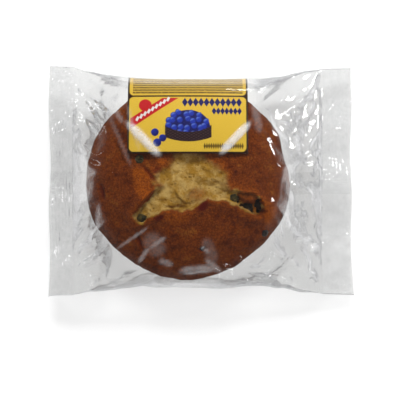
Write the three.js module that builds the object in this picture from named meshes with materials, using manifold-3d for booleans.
// A blueberry muffin sealed in a clear flow wrap, with a paper label held between film and crust.
//
// Millimetres, +Z up. The origin is on the surface that the pack lies on, under the middle of the
// pack. +X runs along the pack from one end seal to the other, and the label crosses the muffin's
// +Y side. The muffin, its showing berries, the label and the film are separate closed solids that
// keep a small gap to each other.
import * as THREE from "three";
import { mergeVertices } from "three/addons/utils/BufferGeometryUtils.js";
import Module from "manifold-3d";

const wasm = await Module();
wasm.setup();

// ---- Driving dimensions ----

const gap = 0.3; // between pieces that touch in the real pack

const film = {
  length: 162.5, // along X, over both end seals
  width: 123.5, // of the flattened tube, across the end seals
  wall: 0.3, // thicker than real film, so that the solid has a body
  slit: 0.2, // left between the two webs of an end seal
  waistFront: 56.3, // half width at the muffin, on the -Y side
  waistBack: 54.4, // half width at the muffin, on the +Y side
  top: 42.6, // highest point, over the muffin's crown
  roundness: 2.4, // superellipse power of the cross-section
  brow: 1, // height of its widest line over the muffin's
  slack: 5, // how far the section would hang below the fin, where the table flattens it
  riseFrom: 0.58, // share of the way to a seal where the underside leaves the table
  riseTo: 1.02, // share of the way where it would be level with the seal
  stations: 32, // along X
  crowding: 0.3, // of the stations towards the ends, where the film is steepest
  steps: 40, // round the tube
};

const leftSeal = { depth: 13, outerHeight: 16, innerHeight: 22, rise: 2.6, fullness: 0.476 };
const rightSeal = { depth: 16, outerHeight: 8, innerHeight: 13, rise: 2.4, fullness: 0.5 };

// The fin seal underneath: its layers, where it lies, and how far it runs each way from the muffin.
const fin = { width: 12, thickness: 0.6, y: -1.5, reach: 44, weld: 0.1 };

const muffin = {
  x: -6.8,
  y: 0,
  radius: 54, // of the crown, along X
  flattening: 0.966, // of the crown along Y
  height: 39,
  footRadius: 34.5, // flat of the base
  baseRadius: 38.2, // above the rounded foot
  crownEdge: 23.5, // height of the widest line
  footHeight: 3, // of the rounded foot
  footCorner: 37.5, // radius that the foot's rounding bends towards
  neckRadius: 46.5, // where the pan's wall ends under the crown
  neckHeight: 17,
  underCrown: [48.1, 19.6, 53.2, 18.2], // control points, radius and height, up to the widest line
  overCrown: [54.5, 31, 40, 38.8], // and on to the top
  outlinePoints: 38,
  sides: 54,
};

// Waves that add up to the broad lumps of a baked crown: height, turns along X and Y, and start.
const lumps = [
  [0.35, 0.21, 0.13, 0.6],
  [0.3, -0.17, 0.26, 2.1],
  [0.15, 0.41, -0.33, 4.0],
];
const crownBlend = 8; // height above the widest line over which lumps and rifts fade in

const label = {
  x: -6.5,
  width: 62.4,
  thickness: 0.3,
  front: 13.7, // y of its front edge, on top of the crown
  wrapAngle: 215, // how far round the tube its back edge is, in degrees
  columns: 8,
  rows: 16,
};

// Rifts in the crown, where the crumb broke through the crust: points in plan, from the origin.
const rifts = [
  { points: [[-30, -19], [-20, -11], [-8, -8], [8, -10], [19, -10], [31, -16]], depth: 2.6, reach: 6 },
  { points: [[-24, 6], [-14, 0], [-2, 4], [6, 8]], depth: 1.2, reach: 9 },
];

// Berries that show in the crust: centre in plan, radius, and how deep the centre sits below it.
const berries = [
  { name: "blueberry_rift_left", x: 17.4, y: -9.0, radius: 2.6, sink: 1.2 },
  { name: "blueberry_rift_middle", x: 25.0, y: -13.8, radius: 2.9, sink: 1.6 },
  { name: "blueberry_rift_right", x: 31.0, y: -12.6, radius: 2.7, sink: 1.5 },
  { name: "blueberry_front_left", x: -30.3, y: -20.2, radius: 3.4, sink: 1.3 },
  { name: "blueberry_back_left", x: -31.4, y: 11.0, radius: 2.6, sink: 1.5 },
  { name: "blueberry_front_right", x: 33.4, y: -27.0, radius: 2.2, sink: 1.3 },
  { name: "blueberry_front", x: 1.4, y: -35.4, radius: 2.0, sink: 1.2 },
];
const berrySquash = 0.88; // height over width, from the oven

// ---- Materials ----

const materials = {
  crust: new THREE.MeshStandardMaterial({ color: 0x8a4a1c, roughness: 0.75, metalness: 0 }),
  berry: new THREE.MeshStandardMaterial({ color: 0x241a2c, roughness: 0.45, metalness: 0 }),
  paper: new THREE.MeshStandardMaterial({ color: 0xe0bb44, roughness: 0.5, metalness: 0 }),
  film: new THREE.MeshStandardMaterial({
    color: 0xe6e8ea,
    roughness: 0.12,
    metalness: 0,
    transparent: true,
    opacity: 0.25,
  }),
};

// ---- Solids and geometries ----

// A closed geometry as a solid that can be cut.
function solidFrom(geometry) {
  const bare = geometry.clone();
  bare.deleteAttribute("normal");
  bare.deleteAttribute("uv");
  const merged = mergeVertices(bare, 1e-3);
  return new wasm.Manifold(
    new wasm.Mesh({
      numProp: 3,
      vertProperties: merged.attributes.position.array,
      triVerts: new Uint32Array(merged.index.array),
    }),
  );
}

// A solid back as a geometry with flat-shaded triangles.
function geometryFrom(solid) {
  const { vertProperties, triVerts } = solid.getMesh();
  const geometry = new THREE.BufferGeometry();
  geometry.setAttribute("position", new THREE.BufferAttribute(vertProperties, 3));
  geometry.setIndex(new THREE.BufferAttribute(triVerts, 1));
  geometry.computeVertexNormals();
  return geometry;
}

// Joins loops of equally many points, one after the other, and the last back to the first.
function ringsToGeometry(rings) {
  const size = rings[0].length;
  const index = [];
  rings.forEach((ring, i) => {
    const next = (i + 1) % rings.length;
    ring.forEach((_, j) => {
      const a = i * size + j;
      const b = i * size + ((j + 1) % size);
      const c = next * size + ((j + 1) % size);
      const d = next * size + j;
      index.push(a, b, c, a, c, d);
    });
  });
  const geometry = new THREE.BufferGeometry().setFromPoints(rings.flat());
  geometry.setIndex(index);
  geometry.computeVertexNormals();
  return geometry;
}

function namedMesh(name, geometry, material) {
  const mesh = new THREE.Mesh(geometry, material);
  mesh.name = name;
  return mesh;
}

// ---- The film's shape ----

const sealAt = (x) => (x < muffin.x ? leftSeal : rightSeal);
const endAt = (x) => (x < muffin.x ? -film.length / 2 : film.length / 2);

// 0 over the muffin's middle, 1 at the inner edge of the end seal and in the seal.
function towardsSeal(x) {
  const end = endAt(x);
  const innerEdge = end - Math.sign(end) * sealAt(x).depth;
  return Math.min(1, (x - muffin.x) / (innerEdge - muffin.x));
}

// Height of the middle of an end seal, which droops outwards. Inside the seal it stays level.
function sealHeight(x) {
  const seal = sealAt(x);
  const inFromEnd = Math.abs(endAt(x) - x);
  return THREE.MathUtils.lerp(seal.outerHeight, seal.innerHeight, Math.min(1, inFromEnd / seal.depth));
}

// A point of the film at station x, turned by angle round the tube: 0 is the -Y edge, 90 degrees
// the top, 180 the +Y edge and 270 the underside. Inset moves it in from the outer face.
function filmPoint(x, angle, inset) {
  const t = towardsSeal(x);
  const seal = sealAt(x);
  const level = sealHeight(x);
  const across = -Math.cos(angle);
  const isTop = Math.sin(angle) > 0 || Math.abs(Math.sin(angle)) < 1e-9;
  const waist = across < 0 ? film.waistFront : film.waistBack;
  const halfWidth = THREE.MathUtils.lerp(waist, film.width / 2, t ** 3) - inset;
  const bulge = (1 - Math.abs(across) ** film.roundness) ** (1 / film.roundness);
  const halfSeal = film.wall + film.slit / 2 - inset;
  const edge = THREE.MathUtils.lerp(muffin.crownEdge + film.brow, level, t ** 2);
  const fill = (1 - t ** seal.rise) ** seal.fullness;
  const top = THREE.MathUtils.lerp(level, film.top, fill) - inset;
  const rise = THREE.MathUtils.smootherstep(t, film.riseFrom, film.riseTo);
  const bottom = THREE.MathUtils.lerp(fin.thickness - film.slack, level, rise) + inset;
  const z = isTop
    ? edge + halfSeal + Math.max(0, top - edge - halfSeal) * bulge
    : edge - halfSeal - Math.max(0, edge - halfSeal - bottom) * bulge;
  return new THREE.Vector3(x, across * halfWidth, Math.max(z, fin.thickness + inset));
}

// Places along X for the film's rings.
const stations = Array.from({ length: film.stations + 1 }, (_, i) => {
  const s = (2 * i) / film.stations - 1;
  return (film.length / 2) * ((1 + film.crowding) * s - film.crowding * s ** 3);
});

function filmRing(x, inset) {
  return Array.from({ length: film.steps }, (_, j) => filmPoint(x, (2 * Math.PI * j) / film.steps, inset));
}

// The longitudinal fin seal: two layers of film folded flat against the underside.
function finGeometry() {
  const height = fin.thickness + fin.weld;
  const geometry = new THREE.BoxGeometry(2 * fin.reach, fin.width, height);
  geometry.translate(muffin.x, fin.y, height / 2);
  return geometry;
}

function makeFilm() {
  const inner = stations.map((x) => filmRing(x, film.wall));
  const outer = stations.map((x) => filmRing(x, 0)).reverse();
  const tube = solidFrom(ringsToGeometry([...inner, ...outer]));
  return namedMesh("film_wrapper", geometryFrom(tube.add(solidFrom(finGeometry()))), materials.film);
}

// ---- The label ----

function makeLabel() {
  const outerInset = film.wall + gap;
  const innerInset = outerInset + label.thickness;
  const startAngle = Math.acos(-label.front / film.waistBack);
  const endAngle = THREE.MathUtils.degToRad(label.wrapAngle);
  const strip = (x, inset) =>
    Array.from({ length: label.rows + 1 }, (_, j) =>
      filmPoint(x, THREE.MathUtils.lerp(startAngle, endAngle, j / label.rows), inset),
    );
  const rings = Array.from({ length: label.columns + 1 }, (_, i) => {
    const x = label.x + label.width * (i / label.columns - 0.5);
    return [...strip(x, innerInset), ...strip(x, outerInset).reverse()];
  });
  return namedMesh("label", cappedGeometry(rings), materials.paper);
}

// Closes a row of loops with a flat fan at each end.
function cappedGeometry(rings) {
  const size = rings[0].length;
  const index = [];
  for (let i = 0; i + 1 < rings.length; i++) {
    for (let j = 0; j < size; j++) {
      const a = i * size + j;
      const b = i * size + ((j + 1) % size);
      const c = (i + 1) * size + ((j + 1) % size);
      const d = (i + 1) * size + j;
      index.push(a, b, c, a, c, d);
    }
  }
  const last = (rings.length - 1) * size;
  const half = size / 2;
  for (let j = 0; j + 1 < half; j++) {
    const [a, b, c, d] = [j, j + 1, size - 2 - j, size - 1 - j];
    index.push(a, c, b, a, d, c);
    index.push(last + a, last + b, last + c, last + a, last + c, last + d);
  }
  const geometry = new THREE.BufferGeometry().setFromPoints(rings.flat());
  geometry.setIndex(index);
  geometry.computeVertexNormals();
  return geometry;
}

// ---- The muffin ----

// Half of the muffin's outline, from the middle of its base to the top of its crown.
function muffinProfile() {
  const m = muffin;
  const outline = new THREE.Path();
  outline.moveTo(0, 0);
  outline.lineTo(m.footRadius, 0);
  outline.quadraticCurveTo(m.footCorner, 0, m.baseRadius, m.footHeight);
  outline.lineTo(m.neckRadius, m.neckHeight);
  outline.bezierCurveTo(...m.underCrown, m.radius, m.crownEdge);
  outline.bezierCurveTo(...m.overCrown, 0, m.height);
  const points = outline.getSpacedPoints(m.outlinePoints);
  points[0].x = 0;
  points[points.length - 1].x = 0;
  return points;
}

// How far a point in plan is from the nearest stretch of a rift.
function distanceToRift(x, y, points) {
  const here = new THREE.Vector3(x, y, 0);
  const nearest = new THREE.Vector3();
  let least = Infinity;
  for (let i = 0; i + 1 < points.length; i++) {
    const stretch = new THREE.Line3(
      new THREE.Vector3(...points[i], 0),
      new THREE.Vector3(...points[i + 1], 0),
    );
    stretch.closestPointToPoint(here, true, nearest);
    least = Math.min(least, nearest.distanceTo(here));
  }
  return least;
}

// The lumps' height at a point in plan.
function lump(x, y) {
  return lumps.reduce((sum, [height, alongX, alongY, start]) => {
    return sum + height * Math.sin(alongX * x + alongY * y + start);
  }, 0);
}

function muffinGeometry() {
  const geometry = new THREE.LatheGeometry(muffinProfile(), muffin.sides);
  geometry.rotateX(Math.PI / 2);
  geometry.scale(1, muffin.flattening, 1);
  geometry.translate(muffin.x, muffin.y, fin.thickness + film.wall + gap);
  const position = geometry.attributes.position;
  for (let i = 0; i < position.count; i++) {
    const [x, y, z] = [position.getX(i), position.getY(i), position.getZ(i)];
    const crown = THREE.MathUtils.smoothstep(z, muffin.crownEdge, muffin.crownEdge + crownBlend);
    const dips = rifts.map((r) => r.depth * Math.exp(-((distanceToRift(x, y, r.points) / r.reach) ** 2)));
    const dip = dips.reduce((sum, d) => sum + d, 0);
    position.setZ(i, z + crown * (lump(x, y) - dip));
  }
  geometry.computeVertexNormals();
  return geometry;
}

function berryGeometry(berry, z, growth) {
  const geometry = new THREE.SphereGeometry(berry.radius + growth, 12, 8);
  geometry.rotateX(Math.PI / 2);
  geometry.scale(1, 1, berrySquash);
  geometry.translate(berry.x, berry.y, z);
  return geometry;
}

// The crown's height at a point in plan.
function crownHeight(mesh, x, y) {
  const fromAbove = new THREE.Raycaster(new THREE.Vector3(x, y, 2 * film.top), new THREE.Vector3(0, 0, -1));
  return fromAbove.intersectObject(mesh)[0].point.z;
}

function makeMuffinAndBerries() {
  const whole = namedMesh("whole", muffinGeometry(), materials.crust);
  let crumb = solidFrom(whole.geometry);
  const meshes = berries.map((berry) => {
    const z = crownHeight(whole, berry.x, berry.y) - berry.sink;
    crumb = crumb.subtract(solidFrom(berryGeometry(berry, z, gap)));
    return namedMesh(berry.name, berryGeometry(berry, z, 0), materials.berry);
  });
  return [namedMesh("muffin", geometryFrom(crumb), materials.crust), ...meshes];
}

// ---- The pack ----

const pack = new THREE.Group();
pack.add(...makeMuffinAndBerries());
pack.add(makeLabel());
pack.add(makeFilm());

export default pack;
